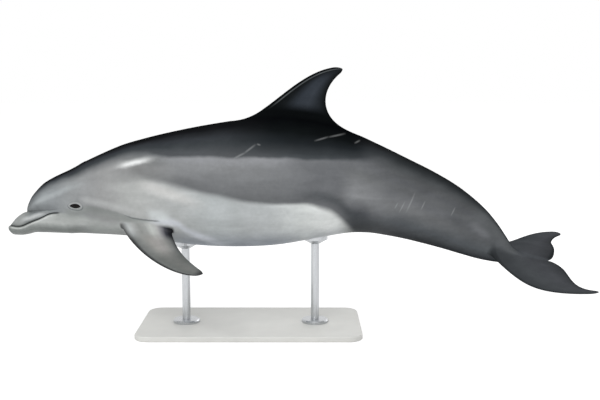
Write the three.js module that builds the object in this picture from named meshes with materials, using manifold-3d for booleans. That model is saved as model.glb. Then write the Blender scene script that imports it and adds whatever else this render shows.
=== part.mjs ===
// Bottlenose dolphin, life size and still, held by two short rods on a flat base.
// Millimetres, +Z up. The animal faces -X, so its left side is -Y. The origin is on the floor, in the
// middle of the underside of the base, below the animal's centre of mass.
// The animal is drawn in coordinates of its own: x runs back from the tip of the beak, and z runs up
// from the lowest line of the belly. One group sets it over the base.
import * as THREE from "three";
import { mergeVertices } from "three/addons/utils/BufferGeometryUtils.js";
import Module from "manifold-3d";

const wasm = await Module();
wasm.setup();

// ------------------------------------------------------------------ driving dimensions
const BALANCE_X = 1110; // from the beak tip to the centre of mass
const BELLY_HEIGHT = 380; // from the floor to the lowest line of the belly
const GAP = 0.3; // clearance between neighbouring pieces
const MOUTH_GAP = 1.2; // slit between the closed jaws

const RING_POINTS = 32; // corners round the body
const FOIL_POINTS = 7; // steps from leading to trailing edge on each face of a fin
const FIN_EDGE = 1.2; // half the thickness of every thin edge

const BEAK_START = 1; // first ring of the beak
const BEAK_ROUND = 30; // length over which the beak tip rounds off
const BEAK_ALONE = 85; // the melon rises from the beak here
const MELON_FALLS = 215; // the melon starts to reach down to the throat
const MELON_LIFTED = 300; // and reaches it
const BEAK_FADES = 280; // the beak's own lobe starts to fade
const BEAK_GONE = 360; // the beak's own lobe has faded out here
const FACE_END = 280; // the jaws and the melon end here

const TAIL_ROLL = 13.5; // degrees that the flukes are rolled, left side down
const ROLL_FROM = 1650; // the tail starts to roll here
const ROLL_TO = 2345; // and has rolled fully here
const NOTCH = new THREE.Vector3(2505, 0, -68); // notch between the flukes

// Side view of the closed mouth and of the crease where the melon meets the beak: smooth curves through
// these points, begun ahead of the beak and ended behind the face.
const MOUTH_LINE = [[-40, 104], [16, 103], [53, 100], [101, 117], [159, 142], [215, 169], [300, 178]];
const CREASE_LINE = [[-40, 172], [100, 176], [218, 185], [300, 197]];

// The body. Each row: station, back line x and z, belly line x and z, half width, height of the widest
// point as a share of the depth, and squareness of the section above and below it, where 2 is round
// and less is a keel. The station grows along the body from the beak to the notch in the flukes.
const BODY = [
  [0, 9, 117, -4, 60, 20, 0.5, 2.2, 2.2],
  [60, 64, 155, 63, 57, 26, 0.5, 2.2, 2.2],
  [85, 89, 167, 100, 63, 14, 0.5, 2.2, 2.2],
  [92, 95, 187, 112, 67, 41, 0.6, 2.2, 2.2],
  [105, 105, 215, 130, 70, 60, 0.6, 2.2, 2.2],
  [125, 123, 248, 152, 70, 74, 0.56, 2.2, 2.2],
  [180, 178, 303, 206, 70, 97, 0.52, 2.2, 2.2],
  [300, 303, 366, 303, 69, 136, 0.44, 2.2, 2.2],
  [360, 360, 397, 360, 67, 151, 0.43, 2.15, 2.2],
  [520, 520, 468, 520, 59, 184, 0.44, 2.1, 2.15],
  [630, 630, 501, 630, 48, 203, 0.45, 2.1, 2.15],
  [750, 750, 530, 750, 28, 219, 0.46, 2.1, 2.1],
  [900, 900, 560, 900, 11, 233, 0.47, 2.05, 2.1],
  [1070, 1070, 586, 1070, 6, 240, 0.47, 2.0, 2.1],
  [1240, 1240, 599, 1240, 15, 236, 0.47, 1.95, 2.1],
  [1400, 1400, 583, 1400, 41, 220, 0.48, 1.9, 2.05],
  [1560, 1560, 536, 1555, 67, 193, 0.49, 1.85, 1.95],
  [1680, 1695, 476, 1650, 68, 167, 0.5, 1.8, 1.85],
  [1800, 1835, 408, 1738, 54, 139, 0.5, 1.75, 1.75],
  [1900, 1950, 351, 1822, 36, 116, 0.5, 1.7, 1.7],
  [2000, 2052, 292, 1908, 13, 94, 0.5, 1.65, 1.65],
  [2090, 2132, 233, 1995, -12, 75, 0.5, 1.6, 1.6],
  [2170, 2195, 176, 2080, -38, 59, 0.5, 1.6, 1.6],
  [2240, 2245, 117, 2158, -60, 46, 0.5, 1.6, 1.6],
  [2300, 2287, 57, 2222, -72, 37, 0.5, 1.65, 1.65],
  [2345, 2320, 8, 2275, -77, 32, 0.5, 1.7, 1.7],
  [2390, 2362, -26, 2335, -78, 30, 0.5, 1.8, 1.8],
  [2440, 2425, -47, 2420, -75, 26, 0.5, 2, 2],
  [2500, 2500, -64, 2500, -70, 16, 0.5, 2, 2],
];

// The beak and lower jaw run on under the melon as a second, flatter lobe. Each row: station, top of
// the lobe and bottom of the melon as shares of the depth, half width of the lobe, and how softly the
// two run together in the crease.
const BEAK = [
  [0, 1, 1, 34, 1],
  [85, 1, 0.97, 57, 2],
  [92, 0.87, 0.78, 60, 6],
  [105, 0.74, 0.62, 64, 8],
  [125, 0.62, 0.47, 71, 9],
  [215, 0.45, 0.17, 106, 20],
  [300, 0.38, 0.15, 122, 30],
  [360, 0.3, 0.15, 108, 4],
];

// Distance between rings at a few stations: shortest where the face bends most.
const RING_STEPS = [
  [0, 2.5], [12, 8], [30, 20], [72, 10], [85, 5], [92, 8], [125, 18], [215, 30], [430, 58], [1600, 58],
  [2240, 40], [2500, 34],
];

// Nodes behind the face, with the stations that they run between and their colours' names.
const TRUNK = [
  ["head", FACE_END, 430, "grey"],
  ["neck", 430, 610, "grey"],
  ["chest", 610, 1000, "grey"],
  ["belly", 1000, 1480, "grey"],
  ["tail_stock_front", 1480, 1900, "slate"],
  ["tail_stock_rear", 1900, 2498, "slate"],
];

const EYE = { x: 346, y: 141, z: 212, along: 28, deep: 13, high: 10.5, toe: 15 };

// Falcate dorsal fin, drawn in the middle plane of the body.
const DORSAL = {
  lead: [[1060, 583], [1196, 602], [1336, 820], [1522, 824]],
  trail: [[1600, 512], [1405, 590], [1432, 735], [1539, 807]],
  spans: [...evenly(0, 0.9, 11), 0.95, 0.98, 1],
  half: [22, 2.5],
  flare: [16, 0.1, 0.42],
};

// Flipper, drawn in a plane that leans out from the chest: back along the body, then down the plane.
const FLIPPER = {
  root: [0, 170, 118],
  splay: 45,
  lead: [[520, -84], [572, 106], [790, 272], [919, 248]],
  trail: [[754, -84], [774, 106], [836, 160], [931, 237]],
  spans: [...evenly(0, 0.9, 9), 0.96, 1],
  half: [15, 2],
  flare: [10, 0.15, 0.4],
};

// Fluke, drawn in the plane of the rolled tail from the notch: back, then outwards. The root slopes
// down to the notch by the first pitch and the tip by the second. bend is the rise of the middle of
// each blade, and of its inner half over its outer.
const FLUKE = {
  lead: [[-312, GAP], [-228, 128], [-106, 358], [117, 332]],
  trail: [[-4, GAP], [70, 40], [0, 260], [134, 304]],
  spans: [...evenly(0, 0.9, 10), 0.96, 1],
  half: [13, 1.5],
  flare: [0, 0, 1],
  pitch: [11, -2],
  bend: { left: [-7, 7], right: [12, 14] },
};

const STAND = {
  base: { length: 1020, width: 520, thick: 24, corner: 60, bevel: 4 },
  rods: { front: -300, rear: 300 },
  rodRadius: 19,
  flange: { radius: 62, thick: 14, chamfer: 5 },
  saddle: { radius: 58, foot: 23, deep: 26, rim: 6, reach: 30 },
  sides: 24,
};

// ------------------------------------------------------------------ helpers
const radians = THREE.MathUtils.degToRad;
const { smoothstep, lerp, clamp } = THREE.MathUtils;

function evenly(from, to, count) {
  return Array.from({ length: count }, (_, i) => from + ((to - from) * i) / (count - 1));
}

function bezier(points) {
  return new THREE.CubicBezierCurve(...points.map(([x, y]) => new THREE.Vector2(x, y)));
}

// Smooth curve through a table's rows: gives the other columns at any value of the first.
function through(rows) {
  const slope = (i, column) => {
    const before = rows[Math.max(i - 1, 0)];
    const after = rows[Math.min(i + 1, rows.length - 1)];
    return (after[column] - before[column]) / (after[0] - before[0]);
  };
  return (at) => {
    let i = 0;
    while (i < rows.length - 2 && at > rows[i + 1][0]) i++;
    const [row, next] = [rows[i], rows[i + 1]];
    const span = next[0] - row[0];
    const t = clamp((at - row[0]) / span, 0, 1);
    return row.slice(1).map((start, j) => {
      const ends = start * (1 - t) ** 2 * (1 + 2 * t) + next[j + 1] * t ** 2 * (3 - 2 * t);
      const slopes = slope(i, j + 1) * t * (1 - t) ** 2 - slope(i + 1, j + 1) * t ** 2 * (1 - t);
      return ends + slopes * span;
    });
  };
}

const bodyAt = through(BODY);
const beakAt = through(BEAK);

// ------------------------------------------------------------------ cross-sections
// Distance from a point on the middle line at height `from` to the edge of a lobe, towards (across, up).
function reach(across, up, from, lobe) {
  const outside = (r) => {
    const z = from + r * up - lobe.widest;
    const high = z > 0 ? lobe.top - lobe.widest : lobe.widest - lobe.bottom;
    const square = z > 0 ? lobe.squareAbove : lobe.squareBelow;
    return Math.abs((r * across) / lobe.halfWidth) ** square + Math.abs(z / high) ** square > 1;
  };
  let [near, far] = [0, 2 * (lobe.top - lobe.bottom + lobe.halfWidth)];
  for (let i = 0; i < 26; i++) {
    const middle = (near + far) / 2;
    if (outside(middle)) far = middle;
    else near = middle;
  }
  return near;
}

// The larger of two lengths, with the corner between them filled over a width of `soft`.
function softMax(a, b, soft) {
  const overlap = Math.max(soft - Math.abs(a - b), 0);
  return Math.max(a, b) + (soft > 0 ? (overlap * overlap) / (4 * soft) : 0);
}

// The melon and the beak's lobe at a station, and the height that both are drawn from.
function lobesAt(at, depth) {
  const [, , , , halfWidth, widestShare, squareAbove, squareBelow] = bodyAt(at);
  const [beakTop, melonFoot, beakWidth, soft] = beakAt(Math.min(at, BEAK_GONE));
  const foot = depth * melonFoot * (1 - smoothstep(at, MELON_FALLS, MELON_LIFTED));
  const widest = lerp(foot, depth, widestShare);
  const melon = { top: depth, bottom: foot, widest, halfWidth, squareAbove, squareBelow };
  const top = depth * beakTop;
  const beak = { top, bottom: 0, widest: top / 2, halfWidth: beakWidth, squareAbove: 2.4, squareBelow: 2.3 };
  if (at <= BEAK_ALONE) return { lobes: [beak], from: beak.widest, soft };
  if (at >= BEAK_GONE) return { lobes: [melon], from: melon.widest, soft };
  return { lobes: [beak, melon], from: clamp((top + foot) / 2, foot + 2, Math.max(top - 2, foot + 2)), soft };
}

// Right half of a cross-section as [across, up] points, evenly spaced from the back line to the belly line.
function halfSection(at, depth, grow) {
  const { lobes, from, soft } = lobesAt(at, depth);
  const faded = smoothstep(at, BEAK_FADES, BEAK_GONE);
  const outline = evenly(0, Math.PI, 241).map((angle) => {
    const [across, up] = [Math.sin(angle), Math.cos(angle)];
    const [first, melon] = lobes.map((lobe) => reach(across, up, from, lobe));
    const r = lobes.length === 1 ? first : lerp(softMax(first, melon, soft * across ** 2), melon, faded);
    return new THREE.Vector2(across * r, from + up * r);
  });
  const tip = at < BEAK_ROUND ? Math.sqrt(1 - (1 - at / BEAK_ROUND) ** 2) : 1;
  const middle = new THREE.Vector2(0, depth / 2);
  const spaced = new THREE.Path(outline).getSpacedPoints(RING_POINTS / 2);
  return spaced.map((point) => {
    const away = point.sub(middle);
    return away.multiplyScalar(tip).addScaledVector(away.clone().normalize(), grow).add(middle);
  });
}

// One ring round the body, in the animal's coordinates, rolled with the tail.
function ring(at, grow = 0) {
  const [backX, backZ, bellyX, bellyZ] = bodyAt(at);
  const belly = new THREE.Vector3(bellyX, 0, bellyZ);
  const back = new THREE.Vector3(backX, 0, backZ);
  const depth = back.distanceTo(belly);
  const normal = new THREE.Vector3(backZ - bellyZ, 0, bellyX - backX).normalize();
  const roll = radians(TAIL_ROLL) * smoothstep(at, ROLL_FROM, ROLL_TO);
  const up = back.clone().sub(belly).normalize().applyAxisAngle(normal, roll);
  const side = new THREE.Vector3(0, 1, 0).applyAxisAngle(normal, roll);
  const middle = back.add(belly).divideScalar(2);
  const place = (across, high) =>
    middle.clone().addScaledVector(side, across).addScaledVector(up, high - depth / 2);
  const half = halfSection(at, depth, grow);
  const right = half.map((p) => place(p.x, p.y));
  const left = half.slice(1, -1).reverse().map((p) => place(-p.x, p.y));
  return [...right, ...left];
}

// ------------------------------------------------------------------ closed meshes
// Closed mesh through rings of equal length, each end closed by a fan round its middle.
function loft(rings) {
  const n = rings[0].length;
  const middle = (loop) => loop.reduce((sum, p) => sum.add(p), new THREE.Vector3()).divideScalar(n);
  const points = [...rings.flat(), middle(rings[0]), middle(rings.at(-1))];
  const index = [];
  const last = (rings.length - 1) * n;
  for (let i = 0; i < n; i++) {
    const j = (i + 1) % n;
    for (let row = 0; row < last; row += n) {
      const [a, b, c, d] = [row + i, row + j, row + n + j, row + n + i];
      index.push(a, c, b, a, d, c);
    }
    index.push(points.length - 2, i, j, points.length - 1, last + j, last + i);
  }
  return new THREE.BufferGeometry().setFromPoints(points).setIndex(index);
}

function facesOf(geometry) {
  const plain = geometry.clone();
  plain.deleteAttribute("normal");
  plain.deleteAttribute("uv");
  const merged = mergeVertices(plain, 1e-3);
  return { vertProperties: merged.attributes.position.array, triVerts: new Uint32Array(merged.index.array) };
}

function solid(geometry) {
  const { vertProperties, triVerts } = facesOf(geometry);
  const build = () => new wasm.Manifold(new wasm.Mesh({ numProp: 3, vertProperties, triVerts }));
  if (build().volume() > 0) return build();
  for (let i = 0; i < triVerts.length; i += 3) triVerts.subarray(i, i + 3).reverse();
  return build();
}

// Geometry of a cut piece, without the crumbs that a cut can leave.
function geometryOf(cut) {
  const [largest] = cut.decompose().sort((a, b) => b.volume() - a.volume());
  const { vertProperties, triVerts, numProp } = largest.getMesh();
  const points = new THREE.InterleavedBuffer(vertProperties, numProp);
  const geometry = new THREE.BufferGeometry();
  geometry.setAttribute("position", new THREE.InterleavedBufferAttribute(points, 3, 0));
  return geometry.setIndex(new THREE.BufferAttribute(triVerts, 1));
}

// Stations between two places, at the spacing that RING_STEPS gives there.
function stations(from, to) {
  const spacing = (at) => {
    let i = 0;
    while (i < RING_STEPS.length - 2 && at >= RING_STEPS[i + 1][0]) i++;
    const [[start, step], [end, nextStep]] = [RING_STEPS[i], RING_STEPS[i + 1]];
    return lerp(step, nextStep, clamp((at - start) / (end - start), 0, 1));
  };
  const list = [from];
  while (list.at(-1) + 1.4 * spacing(list.at(-1)) < to) list.push(list.at(-1) + spacing(list.at(-1)));
  return [...list, to];
}

// Slab across the whole width of the animal below a curve that is drawn in the side view.
function slabBelow(line, offset) {
  const [halfWidth, floor, steps] = [400, -200, 14];
  const curve = new THREE.SplineCurve(line.map(([x, z]) => new THREE.Vector2(x, z + offset)));
  const shape = new THREE.Shape(curve.getSpacedPoints(steps));
  shape.lineTo(line.at(-1)[0], floor);
  shape.lineTo(line[0][0], floor);
  const geometry = new THREE.ExtrudeGeometry(shape, { depth: 2 * halfWidth, bevelEnabled: false });
  return solid(geometry.rotateX(Math.PI / 2).translate(0, halfWidth, 0));
}

// ------------------------------------------------------------------ fins
// Closed fin. put places a point of the drawing in space at a share of the span, and normal is the
// direction of the fin's thickness. flare thickens it towards the root.
function fin({ lead, trail, spans, half, flare }, put, normal) {
  const [leadCurve, trailCurve] = [bezier(lead), bezier(trail)];
  const [flareBy, flareFrom, flareTo] = flare;
  const foil = (share) => 2.6 * Math.sqrt(share) * (1 - share);
  const chord = evenly(0, Math.PI, FOIL_POINTS + 1).map((angle) => (1 - Math.cos(angle)) / 2);
  return loft(spans.map((span) => {
    const [front, rear] = [put(leadCurve.getPoint(span)), put(trailCurve.getPoint(span))];
    const thickest = lerp(...half, span) + flareBy * (1 - smoothstep(span, flareFrom, flareTo));
    const face = (sign) => chord.map((share) =>
      front.clone().lerp(rear, share).addScaledVector(normal, sign * (thickest * foil(share) + FIN_EDGE)));
    return [...face(1), ...face(-1).reverse()];
  }));
}

function dorsalFin() {
  return fin(DORSAL, (p) => new THREE.Vector3(p.x, 0, p.y), new THREE.Vector3(0, 1, 0));
}

function flipper(side) {
  const lean = radians(FLIPPER.splay);
  const [rootX, rootY, rootZ] = FLIPPER.root;
  const root = new THREE.Vector3(rootX, side * rootY, rootZ);
  const down = new THREE.Vector3(0, side * Math.sin(lean), -Math.cos(lean));
  const out = new THREE.Vector3(0, side * Math.cos(lean), Math.sin(lean));
  return fin(FLIPPER, (p) => root.clone().addScaledVector(down, p.y).setX(p.x), out);
}

function fluke(name, side) {
  const roll = radians(TAIL_ROLL);
  const out = new THREE.Vector3(0, side * Math.cos(roll), side * Math.sin(roll));
  const up = new THREE.Vector3(0, -Math.sin(roll), Math.cos(roll));
  const [rise, curl] = FLUKE.bend[name];
  const [rootPitch, tipPitch] = FLUKE.pitch.map(radians);
  const span = FLUKE.lead.at(-1)[1];
  const put = (p) => {
    const share = clamp(p.y / span, 0, 1);
    const pitch = lerp(tipPitch, rootPitch, (1 - share) ** 2);
    const bow = rise * Math.sin(Math.PI * share) + curl * Math.sin(2 * Math.PI * share);
    const along = new THREE.Vector3(p.x, 0, 0);
    return along.add(NOTCH).addScaledVector(out, p.y).addScaledVector(up, bow - p.x * Math.tan(pitch));
  };
  return fin(FLUKE, put, up);
}

// ------------------------------------------------------------------ eyes
function eyeball(side, grow) {
  return new THREE.SphereGeometry(1, 12, 9)
    .scale(EYE.along + grow, EYE.deep + grow, EYE.high + grow)
    .rotateZ(side * radians(-EYE.toe))
    .translate(EYE.x, side * EYE.y, EYE.z);
}

// ------------------------------------------------------------------ stand
function standBase({ length, width, thick, corner, bevel }) {
  const [x, y] = [length / 2 - bevel - corner, width / 2 - bevel - corner];
  const shape = new THREE.Shape();
  shape.absarc(x, -y, corner, -Math.PI / 2, 0);
  shape.absarc(x, y, corner, 0, Math.PI / 2);
  shape.absarc(-x, y, corner, Math.PI / 2, Math.PI);
  shape.absarc(-x, -y, corner, Math.PI, 1.5 * Math.PI);
  const edge = { bevelThickness: bevel, bevelSize: bevel, bevelSegments: 1, curveSegments: 4 };
  return new THREE.ExtrudeGeometry(shape, { depth: thick - 2 * bevel, ...edge }).translate(0, 0, bevel);
}

// Turned piece, standing up, from [radius, height] points.
function turned(profile) {
  const points = profile.map(([radius, z]) => new THREE.Vector2(radius, z));
  return new THREE.LatheGeometry(points, STAND.sides).rotateX(Math.PI / 2);
}

function standFlange({ radius, thick, chamfer }) {
  return turned([[0, 0], [radius, 0], [radius, thick - chamfer], [radius - chamfer, thick], [0, thick]]);
}

// Blank of the cup under the belly: the body is cut out of it.
function saddleBlank({ radius, foot, deep, rim, reach: high }) {
  return turned([[0, 0], [foot, 0], [radius, deep - rim], [radius, deep + high], [0, deep + high]]);
}

// ------------------------------------------------------------------ finishes
function finish(color, roughness, metalness = 0) {
  return new THREE.MeshStandardMaterial({ color, roughness, metalness });
}
const SKIN = {
  pale: finish(0xb4b8ba, 0.35),
  grey: finish(0x7d8184, 0.35),
  slate: finish(0x4a4e52, 0.35),
  fin: finish(0x33373b, 0.35),
};
const EYE_DARK = finish(0x14120f, 0.08);
const STEEL = finish(0xb9bcc0, 0.3, 1);
const POWDER_COAT = finish(0xd8d8d4, 0.5);

// ------------------------------------------------------------------ assembly
const dolphin = new THREE.Group();
const animal = new THREE.Group();
animal.position.set(-BALANCE_X, 0, BELLY_HEIGHT);
dolphin.add(animal);

function add(parent, name, geometry, material) {
  const mesh = new THREE.Mesh(geometry, material);
  mesh.name = name;
  parent.add(mesh);
}

const faceRings = stations(BEAK_START, FACE_END - GAP / 2);
const trunkRings = TRUNK.map(([, from, to]) => stations(from + GAP / 2, to - GAP / 2));
const bodyThrough = (places, grow) => loft(places.map((at) => ring(at, grow)));
const fullBody = solid(bodyThrough([faceRings, ...trunkRings].flat(), GAP)); // a clearance too large

// The face is parted along the closed mouth, and above it where the melon meets the beak.
const face = solid(bodyThrough(faceRings));
const aboveMouth = face.subtract(slabBelow(MOUTH_LINE, MOUTH_GAP / 2));
add(animal, "lower_jaw", geometryOf(face.intersect(slabBelow(MOUTH_LINE, -MOUTH_GAP / 2))), SKIN.pale);
add(animal, "upper_jaw", geometryOf(aboveMouth.intersect(slabBelow(CREASE_LINE, -GAP / 2))), SKIN.grey);
add(animal, "melon", geometryOf(aboveMouth.subtract(slabBelow(CREASE_LINE, GAP / 2))), SKIN.grey);

const sockets = [-1, 1].map((side) => solid(eyeball(side, GAP + 0.2)));
for (const [i, [name, , , tone]] of TRUNK.entries()) {
  const piece = solid(bodyThrough(trunkRings[i]));
  const cut = name === "head" ? sockets.reduce((rest, socket) => rest.subtract(socket), piece) : piece;
  add(animal, name, geometryOf(cut), SKIN[tone]);
}

add(animal, "dorsal_fin", geometryOf(solid(dorsalFin()).subtract(fullBody)), SKIN.fin);
for (const [name, side] of [["left", -1], ["right", 1]]) {
  add(animal, `eye_${name}`, eyeball(side, 0), EYE_DARK);
  add(animal, `flipper_${name}`, geometryOf(solid(flipper(side)).subtract(fullBody)), SKIN.fin);
  add(animal, `fluke_${name}`, geometryOf(solid(fluke(name, side)).subtract(fullBody)), SKIN.fin);
}

add(dolphin, "stand_base", standBase(STAND.base), POWDER_COAT);
const bodyOnStand = fullBody.translate([-BALANCE_X, 0, BELLY_HEIGHT]);
for (const [name, x] of Object.entries(STAND.rods)) {
  const [, , , bellyZ] = bodyAt(x + BALANCE_X);
  const flangeZ = STAND.base.thick + GAP;
  const rodZ = flangeZ + STAND.flange.thick + GAP;
  const saddleZ = BELLY_HEIGHT + bellyZ - STAND.saddle.deep;
  const rodTop = saddleZ - GAP;
  const rod = turned([[0, rodZ], [STAND.rodRadius, rodZ], [STAND.rodRadius, rodTop], [0, rodTop]]);
  const saddle = solid(saddleBlank(STAND.saddle).translate(x, 0, saddleZ));
  add(dolphin, `stand_flange_${name}`, standFlange(STAND.flange).translate(x, 0, flangeZ), STEEL);
  add(dolphin, `stand_rod_${name}`, rod.translate(x, 0, 0), STEEL);
  add(dolphin, `stand_saddle_${name}`, geometryOf(saddle.subtract(bodyOnStand)), STEEL);
}

export default dolphin;
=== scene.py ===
import math
from functools import partial, reduce

import bmesh
import bpy
import numpy as np
from mathutils import Matrix, Vector
from mathutils.bvhtree import BVHTree
from mathutils.kdtree import KDTree


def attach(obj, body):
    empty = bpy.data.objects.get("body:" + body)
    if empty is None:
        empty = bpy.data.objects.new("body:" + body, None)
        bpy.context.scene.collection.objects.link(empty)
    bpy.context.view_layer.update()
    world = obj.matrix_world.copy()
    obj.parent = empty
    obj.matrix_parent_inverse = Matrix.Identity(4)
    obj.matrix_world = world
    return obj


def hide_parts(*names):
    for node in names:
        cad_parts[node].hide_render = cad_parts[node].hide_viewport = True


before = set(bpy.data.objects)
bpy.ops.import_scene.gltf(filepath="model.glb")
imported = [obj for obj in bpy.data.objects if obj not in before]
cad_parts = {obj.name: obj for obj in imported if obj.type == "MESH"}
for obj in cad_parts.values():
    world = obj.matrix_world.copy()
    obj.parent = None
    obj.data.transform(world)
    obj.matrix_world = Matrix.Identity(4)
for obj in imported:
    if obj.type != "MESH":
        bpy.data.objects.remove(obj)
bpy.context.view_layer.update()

# ------------------------------------------------------------------ the animal's own coordinates
# Millimetres: x runs back from the tip of the beak, z up from the lowest line of the belly, y is
# across, and the left side is -y. Lengths and tables here are the ones that the solids are made from.
METRE = 1000
BALANCE_X = 1110
BELLY_HEIGHT = 380
OFFSET = np.array([-BALANCE_X, 0, BELLY_HEIGHT])

BEAK_ROUND = 30  # length over which the beak tip rounds off
BEAK_ALONE = 85  # the melon rises from the beak here
MELON_FALLS, MELON_LIFTED = 215, 300  # the melon's foot sinks to the throat between these
BEAK_GONE = 360  # the beak's own lobe has faded out here
MOUTH_END = 266
BEAK_TURN = 200  # ahead of here the tip closes on the mouth line, and behind it on the body's middle
LIPS_GONE = 320
TAIL_END = 2496
TAIL_ROUND = 8
TAIL_ROLL = math.radians(13.5)  # the left fluke is the lower one
ROLL_FROM, ROLL_TO = 1650, 2345
FLIPPER_SPLAY = math.radians(45)
FLIPPER_ROOT = (0, 170, 118)
NOTCH = np.array([2505, 0, -68])
FLUKE_SPAN = 332
FIN_EDGE = 1.2  # half the thickness of a trailing edge

MOUTH_LINE = [
    [-40, 104], [16, 103], [53, 100], [101, 117], [159, 142], [215, 169], [254, 177], [300, 178]]

# Station; back line x, z; belly line x, z; half width; widest share; squareness above and below.
BODY = [
    [0, 9, 117, -4, 60, 20, 0.5, 2.2, 2.2],
    [60, 64, 155, 63, 57, 26, 0.5, 2.2, 2.2],
    [85, 89, 167, 100, 63, 14, 0.5, 2.2, 2.2],
    [92, 95, 187, 112, 67, 41, 0.6, 2.2, 2.2],
    [105, 105, 215, 130, 70, 60, 0.6, 2.2, 2.2],
    [125, 123, 248, 152, 70, 74, 0.56, 2.2, 2.2],
    [180, 178, 303, 206, 70, 97, 0.52, 2.2, 2.2],
    [300, 303, 366, 303, 69, 136, 0.44, 2.2, 2.2],
    [360, 360, 397, 360, 67, 151, 0.43, 2.15, 2.2],
    [520, 520, 468, 520, 59, 184, 0.44, 2.1, 2.15],
    [630, 630, 501, 630, 48, 203, 0.45, 2.1, 2.15],
    [750, 750, 530, 750, 28, 219, 0.46, 2.1, 2.1],
    [900, 900, 560, 900, 11, 233, 0.47, 2.05, 2.1],
    [1070, 1070, 586, 1070, 6, 240, 0.47, 2.0, 2.1],
    [1240, 1240, 599, 1240, 15, 236, 0.47, 1.95, 2.1],
    [1400, 1400, 583, 1400, 41, 220, 0.48, 1.9, 2.05],
    [1560, 1560, 536, 1555, 67, 193, 0.49, 1.85, 1.95],
    [1680, 1695, 476, 1650, 68, 167, 0.5, 1.8, 1.85],
    [1800, 1835, 408, 1738, 54, 139, 0.5, 1.75, 1.75],
    [1900, 1950, 351, 1822, 36, 116, 0.5, 1.7, 1.7],
    [2000, 2052, 292, 1908, 13, 94, 0.5, 1.65, 1.65],
    [2090, 2132, 233, 1995, -12, 75, 0.5, 1.6, 1.6],
    [2170, 2195, 176, 2080, -38, 59, 0.5, 1.6, 1.6],
    [2240, 2245, 117, 2158, -60, 46, 0.5, 1.6, 1.6],
    [2300, 2287, 57, 2222, -72, 37, 0.5, 1.65, 1.65],
    [2345, 2320, 8, 2275, -77, 32, 0.5, 1.7, 1.7],
    [2390, 2362, -26, 2335, -78, 30, 0.5, 1.8, 1.8],
    [2440, 2425, -47, 2420, -75, 26, 0.5, 2, 2],
    [2500, 2500, -64, 2500, -70, 16, 0.5, 2, 2],
]

# Station; beak lobe's top and melon's foot as shares of the depth; lobe's half width; softness.
BEAK = [
    [0, 1, 1, 34, 1],
    [85, 1, 0.97, 57, 2],
    [92, 0.87, 0.78, 60, 6],
    [105, 0.74, 0.62, 64, 8],
    [125, 0.62, 0.47, 71, 9],
    [215, 0.45, 0.17, 106, 20],
    [300, 0.38, 0.15, 122, 30],
    [360, 0.3, 0.15, 108, 4],
]


def smoothstep(value, low, high):
    share = np.clip((np.asarray(value, float) - low) / (high - low), 0, 1)
    return share * share * (3 - 2 * share)


def lerp(a, b, share):
    return a + (b - a) * share


def unit(vectors):
    return vectors / np.linalg.norm(vectors, axis=1)[:, None]


def table(rows):
    """Smooth curve through a table's rows: gives the other columns at any values of the first."""
    rows = np.array(rows, float)
    at, values = rows[:, 0], rows[:, 1:]
    before = np.maximum(np.arange(len(at)) - 1, 0)
    after = np.minimum(np.arange(len(at)) + 1, len(at) - 1)
    slope = (values[after] - values[before]) / (at[after] - at[before])[:, None]

    def read(x):
        x = np.atleast_1d(np.asarray(x, float))
        i = np.clip(np.searchsorted(at, x, side="left") - 1, 0, len(at) - 2)
        span = (at[i + 1] - at[i])[:, None]
        t = np.clip((x - at[i]) / (at[i + 1] - at[i]), 0, 1)[:, None]
        ends = values[i] * (1 - t) ** 2 * (1 + 2 * t) + values[i + 1] * t**2 * (3 - 2 * t)
        return (ends + span * (slope[i] * t * (1 - t) ** 2 - slope[i + 1] * t**2 * (1 - t))).T

    return read


body_at = table(BODY)
beak_at = table(BEAK)
mouth_z = table(MOUTH_LINE)


# ------------------------------------------------------------------ cross-sections of the body
def reach(across, up, start, lobe):
    """Distance from the middle line at height start to the edge of a lobe, towards (across, up)."""
    top, bottom, widest, half_width, square_above, square_below = (v[:, None] for v in lobe)
    near = np.zeros_like(across)
    far = np.broadcast_to(2 * (top - bottom + half_width), across.shape).copy()
    for _ in range(24):
        r = (near + far) / 2
        z = start[:, None] + r * up - widest
        high = np.where(z > 0, top - widest, widest - bottom)
        square = np.where(z > 0, square_above, square_below)
        outside = np.abs(r * across / half_width) ** square + np.abs(z / high) ** square > 1
        far = np.where(outside, r, far)
        near = np.where(outside, near, r)
    return near


def outlines(at, samples=181):
    """Right half of the cross-section at each station, from the back line to the belly line."""
    back_x, back_z, belly_x, belly_z, half_width, widest_share, sq_above, sq_below = body_at(at)
    depth = np.hypot(back_x - belly_x, back_z - belly_z)
    beak_top, melon_foot, beak_width, soft = beak_at(np.minimum(at, BEAK_GONE))
    foot = depth * melon_foot * (1 - smoothstep(at, MELON_FALLS, MELON_LIFTED))
    widest = lerp(foot, depth, widest_share)
    top = depth * beak_top
    melon = [depth, foot, widest, half_width, sq_above, sq_below]
    beak = [top, 0 * top, top / 2, beak_width, 0 * top + 2.4, 0 * top + 2.3]
    shared = np.clip((top + foot) / 2, foot + 2, np.maximum(top - 2, foot + 2))
    start = np.where(at >= BEAK_GONE, widest, np.where(at <= BEAK_ALONE, top / 2, shared))
    angle = np.linspace(0, math.pi, samples)
    across, up = (np.broadcast_to(f(angle), (len(at), samples)) for f in (np.sin, np.cos))
    melon_r = reach(across, up, start, melon)
    beak_r = reach(across, up, start, beak)
    corner = soft[:, None] * across**2 + 1e-9
    overlap = np.maximum(corner - np.abs(melon_r - beak_r), 0)
    r = np.maximum(melon_r, beak_r) + overlap**2 / (4 * corner)
    r = lerp(r, melon_r, smoothstep(at, MELON_LIFTED - 20, BEAK_GONE)[:, None])
    r = np.where(at[:, None] <= BEAK_ALONE, beak_r, r)
    return across * r, start[:, None] + up * r, depth


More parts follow.
